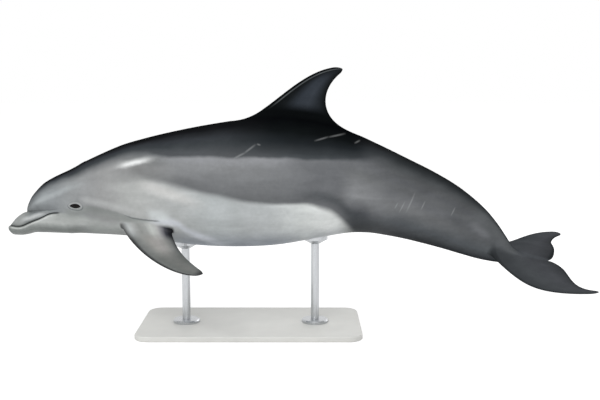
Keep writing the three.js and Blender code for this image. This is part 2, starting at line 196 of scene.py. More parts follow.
class Sections:
    """Cross-sections of the body at a list of stations, ready to be read at any share of the outline."""

    def __init__(self, at):
        self.at = at
        self.across, self.high, self.depth = outlines(at)
        back_x, back_z, belly_x, belly_z = body_at(at)[:4]
        self.middle = np.stack([(back_x + belly_x) / 2, 0 * at, (back_z + belly_z) / 2], 1)
        up = np.stack([back_x - belly_x, 0 * at, back_z - belly_z], 1) / self.depth[:, None]
        normal = np.stack([up[:, 2], 0 * at, -up[:, 0]], 1)
        roll = TAIL_ROLL * smoothstep(at, ROLL_FROM, ROLL_TO)[:, None]
        side = np.array([0.0, 1.0, 0.0])
        self.up = up * np.cos(roll) + np.cross(normal, up) * np.sin(roll)
        self.side = side * np.cos(roll) + np.cross(normal, side) * np.sin(roll)
        step = np.hypot(np.diff(self.across, axis=1), np.diff(self.high, axis=1))
        self.run = np.concatenate([0 * at[:, None], np.cumsum(step, axis=1)], 1)
        self.length = self.run[:, -1]
        # share of the outline at which the mouth line is met, and the height of that point
        x = self.middle[:, :1] + self.up[:, :1] * (self.high - self.depth[:, None] / 2)
        z = self.middle[:, 2:] + self.up[:, 2:] * (self.high - self.depth[:, None] / 2)
        above = z - mouth_z(x.ravel())[0].reshape(x.shape)
        crossing = np.argmax(above < 0, axis=1)
        row = np.arange(len(at))
        a, b = above[row, crossing - 1], above[row, crossing]
        share = a / (a - b)
        self.mouth_run = lerp(self.run[row, crossing - 1], self.run[row, crossing], share)
        self.mouth_high = lerp(self.high[row, crossing - 1], self.high[row, crossing], share)

    def point(self, row, run):
        """Points at distances run along the outline of the given rows: across and high."""
        flat = np.empty((2, len(row)))
        for i in range(len(self.at)):
            mine = row == i
            flat[:, mine] = [np.interp(run[mine], self.run[i], line[i]) for line in (self.across, self.high)]
        return flat


# Columns run round the body from the back line over the right side to the belly line and up the left
# side. One column follows the closed mouth, and its neighbours crowd up to it.
HALF = 60  # columns on each half
MOUTH_COLUMN = 35
LIP_STEP = 0.75  # spacing of the columns along the lips
RELAX_FROM, RELAX_TO = 268, 440  # behind the mouth the columns spread out evenly


def run_of(sections, row, column):
    """Distance along the outline of a column (0 to HALF) in each row."""
    length = sections.length[row]
    held = 1 - smoothstep(sections.at[row], RELAX_FROM, RELAX_TO)
    share = lerp(MOUTH_COLUMN / HALF, sections.mouth_run[row] / length, held)
    crowd = np.clip(2 * LIP_STEP * HALF / length, 0.16, 1)
    crowd = lerp(1, crowd, held)
    above = column / MOUTH_COLUMN
    below = (HALF - column) / (HALF - MOUTH_COLUMN)
    eased = lambda t: t + (1 - crowd) * t * (1 - t)
    return length * np.where(column <= MOUTH_COLUMN, share * eased(above), 1 - (1 - share) * eased(below))


def gauss(distance, width):
    return np.exp(-((distance / width) ** 2))


def surface(at, column):
    """Points of the skin, in millimetres, at stations at and columns column (any shape, broadcast)."""
    at, column = np.broadcast_arrays(np.asarray(at, float), np.asarray(column, float))
    shape = at.shape
    places, row = np.unique(at.ravel(), return_inverse=True)
    s = Sections(places)
    column = (column.ravel() + HALF) % (2 * HALF) - HALF  # -HALF to HALF, right side positive
    run = run_of(s, row, np.abs(column))
    across, high = s.point(row, run)
    # round tips: the beak's on the mouth line, the tail's on its middle
    tip = np.sqrt(1 - np.clip(1 - places / BEAK_ROUND, 0, 1) ** 2)
    tail = np.clip((places - (TAIL_END - TAIL_ROUND)) / TAIL_ROUND, 0, 1)
    tip = (tip * np.sqrt(1 - tail**2))[row]
    centre = np.where(places < BEAK_TURN, s.mouth_high, s.depth / 2)[row]
    across = across * tip
    high = centre + (high - centre) * tip
    side = np.where(column < 0, -1, 1)
    point = s.middle[row] + s.side[row] * (across * side)[:, None]
    point = point + s.up[row] * (high - s.depth[row] / 2)[:, None]
    # lips: a narrow groove, the upper lip over it and the fuller lower lip under it
    below = (run - s.mouth_run[row]) * tip
    in_face = (1 - smoothstep(point[:, 0], MOUTH_END - 16, MOUTH_END + 4)) * (places < LIPS_GONE)[row]
    lift = in_face * (1.3 * gauss(below - 8, 5) + 0.9 * gauss(below + 5, 3.5) - 4.2 * gauss(below, 1.9))
    outward = s.side[row] * (across * side)[:, None] + s.up[row] * (high - s.depth[row] * 0.45)[:, None]
    outward *= (tip / (np.linalg.norm(outward, axis=1) + 1e-9))[:, None]
    outward[:, 0] -= np.sqrt(1 - tip**2) * (places < BEAK_TURN)[row]
    point = point + outward * lift[:, None]
    # the lower jaw stands a little forward of the upper
    front = 1 - smoothstep(places, 0, 45)[row]
    point[:, 0] += front * 4 * smoothstep(-below, 0, 5)
    point[:, 0] -= front * 6 * smoothstep(below, 1, 9) * (1 - smoothstep(below, 16, 48))
    return point.reshape(shape + (3,))


# ------------------------------------------------------------------ rings of the skin
def spaced(steps, start, end):
    """Stations from start to end, at a spacing read from [station, step] rows."""
    places, steps = [start], np.array(steps, float)
    while places[-1] < end:
        places.append(places[-1] + np.interp(places[-1], steps[:, 0], steps[:, 1]))
    places = np.array(places)
    return start + (places - start) * (end - start) / (places[-1] - start)


NECK = 440  # the face's finer columns end here
beak_rings = BEAK_ROUND * (1 - np.cos(np.linspace(0, 0.42 * math.pi, 13)))
FACE_STEPS = [[20, 2.2], [75, 2.6], [84, 1.1], [122, 1.3], [170, 2.6], [250, 3.4], [300, 3.6], [440, 5]]
face_rings = np.concatenate([beak_rings[:-1], spaced(FACE_STEPS, beak_rings[-1], NECK)])
TRUNK_STEPS = [
    [440, 6], [560, 9], [700, 11], [1090, 12], [1500, 12], [1700, 15], [2100, 12], [2200, 6.5], [2480, 6]]
tail_rings = TAIL_END - TAIL_ROUND * (1 - np.sin(np.linspace(0, math.pi / 2, 6)))
trunk_rings = np.concatenate([spaced(TRUNK_STEPS, NECK, tail_rings[0])[:-1], tail_rings])


def sheet(mesh, points, **marks):
    """Grid of faces through a table of points; marks are numbers that its corners carry."""
    rows, columns = points.shape[:2]
    made = bmesh.ops.create_grid(mesh, x_segments=columns - 1, y_segments=rows - 1, size=1)["verts"]
    placed = (points.reshape(-1, 3) + OFFSET) / METRE
    layers = [(mesh.verts.layers.float[name], np.broadcast_to(values, (rows, columns)).ravel())
              for name, values in marks.items()]
    for i, vert in enumerate(made):
        vert.co = placed[i]
        for layer, values in layers:
            vert[layer] = values[i]
    return made


def body_sheet(mesh, rings, columns, holes):
    """Grid round the body, left open at blocks of [first ring, last ring, first column, last column]."""
    made = sheet(mesh, surface(rings[:, None], columns[None, :]))
    wide = len(columns)
    index = {vert: i for i, vert in enumerate(made)}
    cut = []
    for face in {f for vert in made for f in vert.link_faces}:
        low = min(index[vert] for vert in face.verts)
        ring, column = divmod(low, wide)
        for first, last, left, right in holes:
            turned = (column - left) % (wide - 1)
            if first <= ring < last and turned < right - left:
                cut.append(face)
    bmesh.ops.delete(mesh, geom=cut, context="FACES")
    return made[:wide]


def block_edge(first, last, left, right):
    """Closed walk round a block of the grid, from the middle of its front edge over the left column.

    Gives each corner point's ring and column, the way in from the edge, and its share of the block's
    length, with its side: 1 along the left column, -1 along the right, and in between at the ends.
    """
    middle = (left + right) // 2
    walk = [(first, column) for column in range(middle, left, -1)]
    walk += [(row, left) for row in range(first, last)]
    walk += [(last, column) for column in range(left, right)]
    walk += [(row, right) for row in range(last, first, -1)]
    walk += [(first, column) for column in range(right, middle - 1, -1)]
    row, column = np.array(walk).T
    inward = np.stack([1.0 * (row == first) - (row == last), 1.0 * (column == left) - (column == right)], 1)
    return row, column, inward, (row - first) / (last - first), (middle - column) / (middle - left)


# ------------------------------------------------------------------ fins
def bezier(points):
    points = np.array(points, float)

    def curve(t):
        t = np.asarray(t, float)[:, None]
        s = 1 - t
        return s**3 * points[0] + 3 * s**2 * t * points[1] + 3 * s * t**2 * points[2] + t**3 * points[3]

    return curve


def fin_surface(lead, trail, half, flare, put, normal, round_from):
    """Both faces of a fin: a function of the share of its chord, the side (-1 to 1) and its span's share."""
    lead, trail = bezier(lead), bezier(trail)

    def face(chord, side, span):
        round_off = np.sqrt(1 - np.clip((span - round_from) / (1 - round_from), 0, 1) ** 2)
        front, rear = lead(span), trail(span)
        drawn = lerp(front, rear, (0.5 + (chord - 0.5) * round_off)[:, None])
        thickest = lerp(half[0], half[1], span) + flare[0] * (1 - smoothstep(span, flare[1], flare[2]))
        foil = 2.6 * np.sqrt(chord) * (1 - chord)
        edge = FIN_EDGE * np.sqrt(np.clip(1 - np.clip((chord - 0.985) / 0.015, 0, 1) ** 2, 0, 1))
        edge = edge * np.clip(chord / 0.004, 0, 1)
        return put(drawn) + np.asarray(normal) * (side * round_off * (thickest * foil + edge))[:, None]

    return face


def put_dorsal(drawn):
    return np.stack([drawn[:, 0], 0 * drawn[:, 0], drawn[:, 1]], 1)


def put_flipper(side):
    root = np.array(FLIPPER_ROOT) * (1, side, 1)
    down = np.array([0, side * math.sin(FLIPPER_SPLAY), -math.cos(FLIPPER_SPLAY)])
    return lambda drawn: root + down * drawn[:, 1:] + np.array([1, 0, 0]) * drawn[:, :1]


def flipper_normal(side):
    return (0, side * math.cos(FLIPPER_SPLAY), math.sin(FLIPPER_SPLAY))


FLUKE_UP = np.array([0, -math.sin(TAIL_ROLL), math.cos(TAIL_ROLL)])


def put_fluke(side, rise, curl):
    out = side * np.array([0, math.cos(TAIL_ROLL), math.sin(TAIL_ROLL)])

    def put(drawn):
        share = np.clip(drawn[:, 1] / FLUKE_SPAN, 0, 1)
        pitch = np.radians(lerp(-2, 11, (1 - share) ** 2))
        bow = rise * np.sin(math.pi * share) + curl * np.sin(2 * math.pi * share)
        high = bow - drawn[:, 0] * np.tan(pitch)
        return NOTCH + np.array([1, 0, 0]) * drawn[:, :1] + out * drawn[:, 1:] + FLUKE_UP * high[:, None]

    return put


# Each fin: its surface, how far its skin has risen from the body where the fillet ends, the blocks of
# rings and columns that the fillet takes beyond the root, and the way that its upper face looks.
FINS = {}
FINS["dorsal"] = dict(
    face=fin_surface(
        [[1060, 583], [1196, 602], [1336, 820], [1522, 824]],
        [[1600, 512], [1405, 590], [1432, 735], [1539, 807]],
        (22, 2.5), (16, 0.1, 0.42), put_dorsal, (0, -1, 0), 0.94),
    clear=22, beyond=(4, 4, 2), mark="dorsal")
for name, side, bend in (("left", -1, (-7, 7)), ("right", 1, (12, 14))):
    FINS["flipper_" + name] = dict(
        face=fin_surface(
            [[520, -84], [572, 106], [790, 272], [919, 248]],
            [[754, -84], [774, 106], [836, 160], [931, 237]],
            (15, 2), (10, 0.15, 0.4), put_flipper(side), flipper_normal(side), 0.94),
        clear=16, beyond=(3, 3, 1), mark="flipper")
    FINS["fluke_" + name] = dict(
        face=fin_surface(
            [[-312, 0.3], [-228, 128], [-106, 358], [117, FLUKE_SPAN]],
            [[-4, 0.3], [70, 40], [0, 260], [134, 304]],
            (13, 1.5), (0, 0, 1), put_fluke(side, *bend), FLUKE_UP, 0.95),
        clear=6, beyond=(3, 30, 2), mark="fluke")

NOSE, TAIL_EDGE = 0.02, 0.012  # shares of the chord that wrap round its two edges
FILLET_ROWS, FIN_ROWS = 8, 44
TRIED = np.linspace(0, 0.7, 71)  # shares of the span at which a fin is tried against the body


def risen(body, points):
    """How far points stand out of the body."""
    out = np.empty(len(points))
    for i, point in enumerate(points):
        near, normal, _, _ = body.find_nearest(Vector(point))
        out[i] = (Vector(point) - near).dot(normal)
    return out


def around(values, times):
    """Evens out values along a closed walk whose last point is its first."""
    loop = values[:-1]
    for _ in range(times):
        loop = (np.roll(loop, 1, axis=0) + 2 * loop + np.roll(loop, -1, axis=0)) / 4
    return np.concatenate([loop, loop[:1]])


def chord_of(share, side):
    along = NOSE + (1 - NOSE - TAIL_EDGE) * lerp(share, (1 - np.cos(math.pi * share)) / 2, 0.5)
    edge = (side**2 + np.abs(side)) / 2
    return np.where(share <= 0, NOSE * edge, np.where(share >= 1, 1 - TAIL_EDGE * edge, along))


def grow_fin(mesh, body, grid, face, clear, beyond, mark):
    """Adds a fin that flows out of the body, and returns the block of the grid that it stands on."""
    # where the middle plane of the fin leaves the body
    root = []
    for chord in np.linspace(0.02, 0.98, 13):
        line = face(0 * TRIED + chord, 0 * TRIED, TRIED)
        out = risen(body, line) > 0
        root.append(line[int(np.argmax(out))])
    near = [divmod(int(np.argmin(((grid - point) ** 2).sum(2))), grid.shape[1])
            for point in root if point[0] < TAIL_END - 30]
    rings = [ring for ring, _ in near]
    columns = np.array([column for _, column in near])
    if columns.max() - columns.min() > HALF:
        columns = np.where(columns > HALF, columns - 2 * HALF, columns)
    first, last = min(rings) - beyond[0], min(max(rings) + beyond[1], len(grid) - 3)
    middle = int(round((columns.max() + columns.min()) / 2))
    wide = int(math.ceil((columns.max() - columns.min()) / 2)) + beyond[2] + 2
    block = (first, last, middle - wide, middle + wide)
    row, column, inward, share, side = block_edge(*block)
    wrap = grid.shape[1] - 1
    start = grid[row, column % wrap]
    outside = grid[row - inward[:, 0].astype(int), (column - inward[:, 1].astype(int)) % wrap]
    leaving = unit(around(start - outside, 3))
    # the upper face of the fin is on the side of the block that looks the same way
    chord = chord_of(share, side)
    halfway = np.full(len(chord), 0.45)
    upward = face(chord, side, halfway) - face(chord, -side, halfway)
    side = side * np.sign((upward * (start - start.mean(0))).sum())
    # the share of the span at which each line of the fin stands clear of the body
    spans = np.empty(len(chord))
    for i in range(len(chord)):
        line = face(0 * TRIED + chord[i], 0 * TRIED + side[i], TRIED)
        spans[i] = TRIED[int(np.argmax(risen(body, line) > clear))]
    spans = around(spans, 6)
    end = face(chord, side, spans)
    away = unit(face(chord, side, spans + 0.02) - end)
    gap = np.linalg.norm(end - start, axis=1)[:, None]
    points = []
    for t in np.arange(FILLET_ROWS) / FILLET_ROWS:
        bend = start * (1 - t) ** 2 * (1 + 2 * t) + end * t**2 * (3 - 2 * t)
        points.append(bend + gap * (leaving * t * (1 - t) ** 2 - away * t**2 * (1 - t)))
    fillet = smoothstep(np.arange(FILLET_ROWS) / FILLET_ROWS, 0, 1)
    shares = 1 - (1 - np.linspace(0, 1, FIN_ROWS)) ** 1.25  # closer together towards the tip
    for t in shares:
        points.append(face(chord, side, spans + (1 - spans) * t))
    points = np.array(points)
    weight = np.concatenate([fillet, np.ones(FIN_ROWS)])[:, None]
    span = np.concatenate([0 * fillet, shares])[:, None]
    sheet(mesh, points, **{mark: weight, "chord": chord, "span": span})
    return block


# ------------------------------------------------------------------ eyelids, blowhole and slits
EYE = (344, 212)
EYE_OUT = 146
EYE_OFFSETS = (
    16, 13, 11, 9.5, 8.2, 7.2, 6.2, 5.2, 4.4, 3.6, 2.8, 2, 1.3, 0.7, 0.2, -0.2, -0.6, -1.2, -2.2, -3.4, -4.6)
LEAD_IN = 6  # rows from the edge of the block to the first offset
LIP_OFFSETS = (15, 12.5, 10.5, 8.5, 6.8, 5.2, 3.8, 2.6, 1.6, 0.8, 0.2, -0.3, -0.7, -1.1)


def nearest_place(point, rings, columns):
    """Station and column of the skin nearest to a point."""
    grid = surface(rings[:, None], columns[None, :])
    ring, column = divmod(int(np.argmin(((grid - np.array(point)) ** 2).sum(2))), len(columns))
    return rings[ring], columns[column]


def opening(place, rings, columns, reach_out, half, long_way, offsets, height, bend=0):
    """Lids or lips round a lens-shaped opening: the block of the grid that they take, and their points.

    place is the station and column of the middle; reach_out is the half size of the block in rings and
    columns; half is the opening's half length and half height, with its length laid along long_way;
    height gives how far the skin stands out at an offset from the rim and an angle round it; bend moves
    the ends of the opening along its short way.
    """
    ring = int(np.argmin(abs(rings - place[0])))
    spacing = columns[1] - columns[0]
    column = int(round((place[1] - columns[0]) / spacing))
    block = (ring - reach_out[0], ring + reach_out[0], column - reach_out[1], column + reach_out[1])
    row, col, _, _, _ = block_edge(*block)
    at, col = rings[row], columns[0] + col * spacing
    by_station = (surface(place[0] + 2, place[1]) - surface(place[0] - 2, place[1])) / 4
    by_column = surface(place[0], place[1] + 0.5) - surface(place[0], place[1] - 0.5)
    normal = np.cross(by_station, by_column)
    normal *= 1 / np.linalg.norm(normal)
    long_way = np.array(long_way, float) - normal * (normal @ long_way)
    long_way /= np.linalg.norm(long_way)
    short_way = np.cross(normal, long_way)
    short_way *= np.sign(short_way @ np.array([0.3, 0.1, 1]))
    to_skin = np.array([[way @ by_station, way @ by_column] for way in (long_way, short_way)])
    to_grid = np.linalg.inv(to_skin)
    edge = (to_skin @ np.stack([at - place[0], col - place[1]])).T
    squash = (half[0] + offsets[0]) / (half[1] + offsets[0])
    angle = np.arctan2(edge[:, 1] * lerp(1, squash, 0.35), edge[:, 0])

    def lens(offset):
        pinch = 1 + 0.6 * math.exp(-max(offset, 0) / 5)
        along = np.cos(angle) * (half[0] + offset)
        across = np.sign(np.sin(angle)) * np.abs(np.sin(angle)) ** pinch * max(half[1] + offset, 0)
        return np.stack([along, across + bend * (along / half[0]) ** 2], 1)

    lead_in = np.arange(LEAD_IN) / LEAD_IN
    walks = [lerp(edge, lens(offsets[0]), t) for t in lead_in] + [lens(offset) for offset in offsets]
    lifts = [0 * angle for _ in lead_in] + [height(offset, angle) + 0 * angle for offset in offsets]
    points = []
    for i, (walk, lift) in enumerate(zip(walks, lifts)):
        shift = (to_grid @ walk.T).T
        s, c = (at, col) if i == 0 else (place[0] + shift[:, 0], place[1] + shift[:, 1])
        out = unit(np.cross(
            surface(s + 1.5, c) - surface(s - 1.5, c), surface(s, c + 0.3) - surface(s, c - 0.3)))
        points.append(surface(s, c) + out * lift[:, None])
    points.append(0 * points[-1] + points[-1][:-1].mean(0))
    depth = [0] * LEAD_IN + [1 - offset / offsets[0] for offset in offsets] + [1 - offsets[-1] / offsets[0]]
    return block, np.array(points), np.array(depth)[:, None]


# ------------------------------------------------------------------ the skin, in one piece
def eyelids(offset, angle):
    """A soft mound, a fold over the eye and two under it, and a rounded rim that turns in to the socket."""
    under, over = np.clip(-np.sin(angle), 0, 1), np.clip(np.sin(angle), 0, 1)
    mound = 2.4 * math.exp(-max(offset, 0) / 6)
    folds = 1.1 * gauss(offset - 6.2, 1.1) * (0.55 + 0.45 * over) + 0.8 * under * gauss(offset - 9.5, 1.3)
    roll = (0.5 + 0.4 * under) * gauss(offset - 3.4, 1.6)
    return mound - folds + roll + 2.4 * min(offset, 0)


def blowhole_lips(offset, angle):
    """A low ring of muscle round a closed slit."""
    ring = 1.1 * gauss(offset - 5, 6) - 0.6 * gauss(offset - 14, 3)
    return ring + 4 * min(offset, 0) * np.abs(np.sin(angle))


def slit_lips(offset, angle):
    return 1.2 * gauss(offset - 5, 4) - 0.8 * gauss(offset, 1.5) + 3 * min(offset, 0) * np.abs(np.sin(angle))


skin_mesh = bmesh.new()
for layer in ("dorsal", "flipper", "fluke", "chord", "span", "lid", "slit"):
    skin_mesh.verts.layers.float.new(layer)

face_columns = np.arange(4 * HALF + 1) / 2
trunk_columns = np.arange(2 * HALF + 1.0)
trunk_grid = surface(trunk_rings[:, None], trunk_columns[None, :])

body_mesh = bmesh.new()
bmesh.ops.create_grid(body_mesh, x_segments=2 * HALF, y_segments=len(trunk_rings) - 1, size=1)
for vert, point in zip(body_mesh.verts, trunk_grid.reshape(-1, 3)):
    vert.co = point
bmesh.ops.remove_doubles(body_mesh, verts=body_mesh.verts, dist=0.01)
bmesh.ops.recalc_face_normals(body_mesh, faces=body_mesh.faces)
body_tree = BVHTree.FromBMesh(body_mesh)
body_mesh.free()

trunk_holes = [grow_fin(skin_mesh, body_tree, trunk_grid, **fin) for fin in FINS.values()]
OPENINGS = [
    dict(middle=(EYE[0], out, EYE[1]), face=True, reach_out=(13, 13), half=(25, 8.4), long_way=(1, 0, 0),
         offsets=EYE_OFFSETS, height=eyelids) for out in (EYE_OUT, -EYE_OUT)]
OPENINGS += [
    dict(middle=(352, 0, 392), face=True, reach_out=(10, 13), half=(17, 1.4), long_way=(0, 1, 0), bend=-6,
         offsets=LIP_OFFSETS, height=blowhole_lips),
    dict(middle=(1600, 0, 66), face=False, reach_out=(9, 4), half=(52, 1.5), long_way=(1, 0, 0),
         offsets=LIP_OFFSETS, height=slit_lips),
]
face_holes = []
for hole in OPENINGS:
    middle, on_face = hole.pop("middle"), hole.pop("face")
    rings, columns = (face_rings, face_columns) if on_face else (trunk_rings, trunk_columns)
    block, points, depth = opening(nearest_place(middle, rings, columns), rings, columns, **hole)
    sheet(skin_mesh, points, **{"lid" if hole["offsets"] is EYE_OFFSETS else "slit": depth})
    (face_holes if on_face else trunk_holes).append(block)
body_sheet(skin_mesh, face_rings, face_columns, face_holes)
neck_ring = (surface(NECK, face_columns) + OFFSET) / METRE
neck_tree = KDTree(len(neck_ring))
for i, point in enumerate(neck_ring):
    neck_tree.insert(point, i)
neck_tree.balance()
neck = set(body_sheet(skin_mesh, trunk_rings, trunk_columns, trunk_holes))
# the trunk has half as many columns as the face, so each edge of its first ring gets a corner in its middle
neck_edges = [edge for edge in skin_mesh.edges if edge.verts[0] in neck and edge.verts[1] in neck]
corners = bmesh.ops.subdivide_edges(skin_mesh, edges=neck_edges, cuts=1)["geom_inner"]
for vert in corners:
    if isinstance(vert, bmesh.types.BMVert):
        vert.co = Vector(neck_tree.find(vert.co)[0])
bmesh.ops.remove_doubles(skin_mesh, verts=skin_mesh.verts, dist=1e-5)


def relax(region, rounds, feather):
    """Evens out a region of the skin, and feather rings of corners round it less and less."""
    for _ in range(feather + 1):
        for _ in range(rounds // (feather + 1)):
            bmesh.ops.smooth_vert(
                skin_mesh, verts=list(region), factor=0.5, use_axis_x=True, use_axis_y=True, use_axis_z=True)
        region = region | {edge.other_vert(vert) for vert in region for edge in vert.link_edges}


# the fillets, the flukes' middle, the beak's tip, and the crease under the melon
for mark, rounds, feather in (("dorsal", 16, 3), ("flipper", 16, 3), ("fluke", 84, 6)):
    layer = skin_mesh.verts.layers.float[mark]
    fillet = {vert for vert in skin_mesh.verts if 0 < vert[layer] < 1}
    if mark == "fluke":
        fillet |= {vert for vert in skin_mesh.verts if vert.co.x > 1.27 and abs(vert.co.y) < 0.03}
    relax(fillet, rounds, feather)
tip, crease = Vector((-1.11, 0, 0.484)), Vector((-1.014, 0, 0.548))
relax({vert for vert in skin_mesh.verts if (vert.co - tip).length < 0.009}, 12, 3)
relax({vert for vert in skin_mesh.verts if (vert.co - crease).length < 0.02}, 8, 3)
relax({vert for vert in skin_mesh.verts
       if abs(vert.co.x - crease.x) < 0.012 and crease.z - 0.025 < vert.co.z < crease.z + 0.02}, 6, 2)


def finished(name, mesh):
    """Object of a finished mesh, shaded smooth."""
    bmesh.ops.recalc_face_normals(mesh, faces=mesh.faces)
    data = bpy.data.meshes.new(name)
    mesh.to_mesh(data)
    mesh.free()
    for polygon in data.polygons:
        polygon.use_smooth = True
    made = bpy.data.objects.new(name, data)
    bpy.context.scene.collection.objects.link(made)
    return made


skin = finished("skin", skin_mesh)
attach(skin, "root")
flesh = [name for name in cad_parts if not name.startswith(("stand", "eye"))]
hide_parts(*flesh)

# ------------------------------------------------------------------ eyes
EYE_SIZE = (0.034, 0.012, 0.017)  # half sizes, along the head, outwards and up
EYE_TURN = math.radians(14.5)  # the head narrows towards the beak
EYE_SUNK = 9.3  # middle of the eyeball, in from the lids

eyes = {}
for name, side in (("left", -1), ("right", 1)):
    eye_mesh = bmesh.new()
    bmesh.ops.create_uvsphere(eye_mesh, u_segments=64, v_segments=40, radius=1)
    bmesh.ops.rotate(eye_mesh, verts=eye_mesh.verts, matrix=Matrix.Rotation(math.pi / 2, 3, "X"))
    bmesh.ops.scale(eye_mesh, verts=eye_mesh.verts, vec=EYE_SIZE)
    bmesh.ops.rotate(eye_mesh, verts=eye_mesh.verts, matrix=Matrix.Rotation(side * EYE_TURN, 3, "Z"))
    middle = (np.array([EYE[0], side * (EYE_OUT - EYE_SUNK), EYE[1]]) + OFFSET) / METRE
    bmesh.ops.translate(eye_mesh, verts=eye_mesh.verts, vec=middle)
    eye = finished("eyeball_" + name, eye_mesh)
    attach(eye, "root")
    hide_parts("eye_" + name)
    eyes[name] = eye


# ------------------------------------------------------------------ finishes
def colour(code):
    """Linear colour of an sRGB hex code."""
    parts = [int(code[i:i + 2], 16) / 255 for i in (1, 3, 5)]
    return (*(c / 12.92 if c <= 0.04045 else ((c + 0.055) / 1.055) ** 2.4 for c in parts), 1)


def add(tree, kind, inputs=(), curve=None, ramp=None, **settings):
    """Adds a node; its inputs, by name or in order, are values, nodes or sockets."""
    made = tree.nodes.new("ShaderNode" + kind)
    for name, value in settings.items():
        setattr(made, name, value)
    if curve:
        line = made.mapping.curves[0].points
        for point, (x, y) in zip((line[0], line[1]), (curve[0], curve[-1])):
            point.location = (x, y)
        for x, y in curve[1:-1]:
            line.new(x, y)
        for point in line:
            point.handle_type = "AUTO_CLAMPED"
        made.mapping.update()
    if ramp:
        stops = made.color_ramp.elements
        stops[0].position, stops[1].position = ramp[0][0], ramp[-1][0]
        stops[0].color, stops[1].color = colour(ramp[0][1]), colour(ramp[-1][1])
        for at, code in ramp[1:-1]:
            stops.new(at).color = colour(code)
    in_order = [socket for socket in made.inputs if socket.enabled]
    for key, value in inputs.items() if isinstance(inputs, dict) else enumerate(inputs):
        socket = made.inputs[key] if isinstance(key, str) else in_order[key]
        if isinstance(value, bpy.types.Node):
            value = next(out for out in value.outputs if out.enabled)
        if isinstance(value, bpy.types.NodeSocket):
            tree.links.new(value, socket)
        elif value is not None:
            socket.default_value = colour(value) if isinstance(value, str) else value
    return made


def finish(name, kind=bpy.data.materials):
    """A bare material or world, and the small function above, ready to add nodes to it."""
    made = kind.new(name)
    made.use_nodes = True
    made.node_tree.nodes.clear()
    return made, partial(add, made.node_tree)


# ------------------------------------------------------------------ markings
SOFT = {"interpolation_type": "SMOOTHSTEP"}
LENGTH = 2600  # a curve's or ramp's 0 to 1 along the body, in millimetres
HEIGHT, LOWEST = METRE, -200  # and up it, from this height

# Lines of the markings, drawn on the side: millimetres from the beak's tip and above the belly's datum.
BACK_LINE = [(row[1], row[2]) for row in BODY]
BELLY_LINE = [(row[3], row[4]) for row in BODY]
CAPE_EDGE = [
    (60, 186), (100, 206), (150, 247), (180, 267), (210, 288), (247, 304), (272, 313), (320, 328), (391, 361),
    (461, 384), (530, 411), (599, 431), (645, 437), (688, 437), (730, 434), (776, 433), (865, 435),
    (933, 436), (1017, 432), (1082, 433), (1253, 430), (1427, 420), (1515, 418), (1604, 416), (1695, 408),
    (1786, 371), (1877, 320), (1970, 274), (2063, 213), (2158, 138), (2231, 62), (2330, -20), (2500, -90)]
FLANK_EDGE = [
    (380, 322), (457, 330), (550, 340), (599, 338), (641, 337), (690, 330), (733, 324), (778, 312),
    (822, 301), (865, 292), (909, 280), (952, 271), (1040, 255), (1080, 248), (1166, 237), (1253, 231),
    (1340, 231), (1383, 227), (1427, 212), (1472, 193), (1517, 160), (1555, 122), (1585, 86), (1625, 20),
    (1680, -190)]
JAW_EDGE = [
    (0, 103), (16, 105), (53, 103), (76, 107), (101, 118), (130, 131), (159, 142), (184, 154), (215, 168),
    (254, 175), (300, 176), (350, 172), (420, 158), (520, 138), (640, 112), (760, 90), (900, -150)]
EYE_STRIPE = [
    (270, 196), (330, 198), (366, 206), (400, 216), (437, 213), (501, 200), (545, 184), (588, 166),
    (635, 157), (700, 153), (760, 150)]
BEAK_CREASE = [
    (60, 160), (89, 168), (100, 176), (141, 179), (177, 182), (218, 186), (258, 194), (320, 206)]
# line of the painted highlight on the shoulder, which the varnish's wet streak follows as well
SHOULDER_HIGHLIGHT = [(400, 348), (500, 384), (586, 397), (622, 407), (667, 416), (712, 425), (800, 432)]

# How soft an edge is along the body: places, and widths in millimetres.
CAPE_SOFT = [
    (0, 65), (180, 62), (260, 44), (400, 48), (560, 62), (640, 45), (720, 26), (800, 18), (1500, 18),
    (1620, 35), (1760, 70), (2500, 70)]
FLANK_SOFT = [(0, 100), (450, 90), (640, 60), (800, 40), (1000, 34), (1300, 22), (1480, 45), (1700, 50)]
JAW_SOFT = [(0, 4), (240, 6), (300, 20), (450, 35), (640, 50)]
LIP_WIDTH = [(0, 8), (100, 9.5), (170, 8), (230, 6.5), (280, 6)]

# Soft strokes of paint: a line, its half width, where it eases in and out along the body, its strength
# and its colour.
HEAD_HIGHLIGHT_STROKES = [
    # painted highlights: over the melon, and along the ridge of the beak
    ([(90, 176), (137, 204), (199, 239), (257, 263), (319, 292), (400, 322)],
     22, (95, 170, 260, 400), 0.8, "#a0a5a7"),
    ([(40, 118), (66, 130), (93, 141), (116, 147), (139, 155), (180, 167), (230, 176), (300, 190)],
     17, (55, 100, 150, 235), 0.85, "#b8bbbb"),
]
SIDE_STROKES = [
    # blaze over the flipper; painted highlights behind the eye, behind and over the flipper's root, on a
    # fold, on the shoulder
    ([(560, 318), (640, 312), (740, 284), (830, 252), (930, 226), (1040, 205)],
     42, (600, 730, 790, 960), 0.7, "#cdcdcb"),
    ([(340, 242), (400, 238), (440, 232), (500, 222), (560, 206), (640, 184), (720, 172)],
     26, (350, 400, 520, 720), 0.6, "#b2b4b4"),
    ([(640, 150), (700, 152), (776, 146), (847, 102), (902, 74), (980, 40), (1100, 12)],
     34, (650, 750, 890, 1060), 0.8, "#ced2d9"),
    ([(640, 188), (700, 184), (760, 174), (820, 160)], 40, (652, 702, 740, 790), 0.85, "#cfd4d5"),
    (EYE_STRIPE, 7, (540, 600, 700, 735), 0.85, "#676c6c"),
    (SHOULDER_HIGHLIGHT, 22, (500, 590, 625, 720), 0.62, "#d6d8d8"),
]
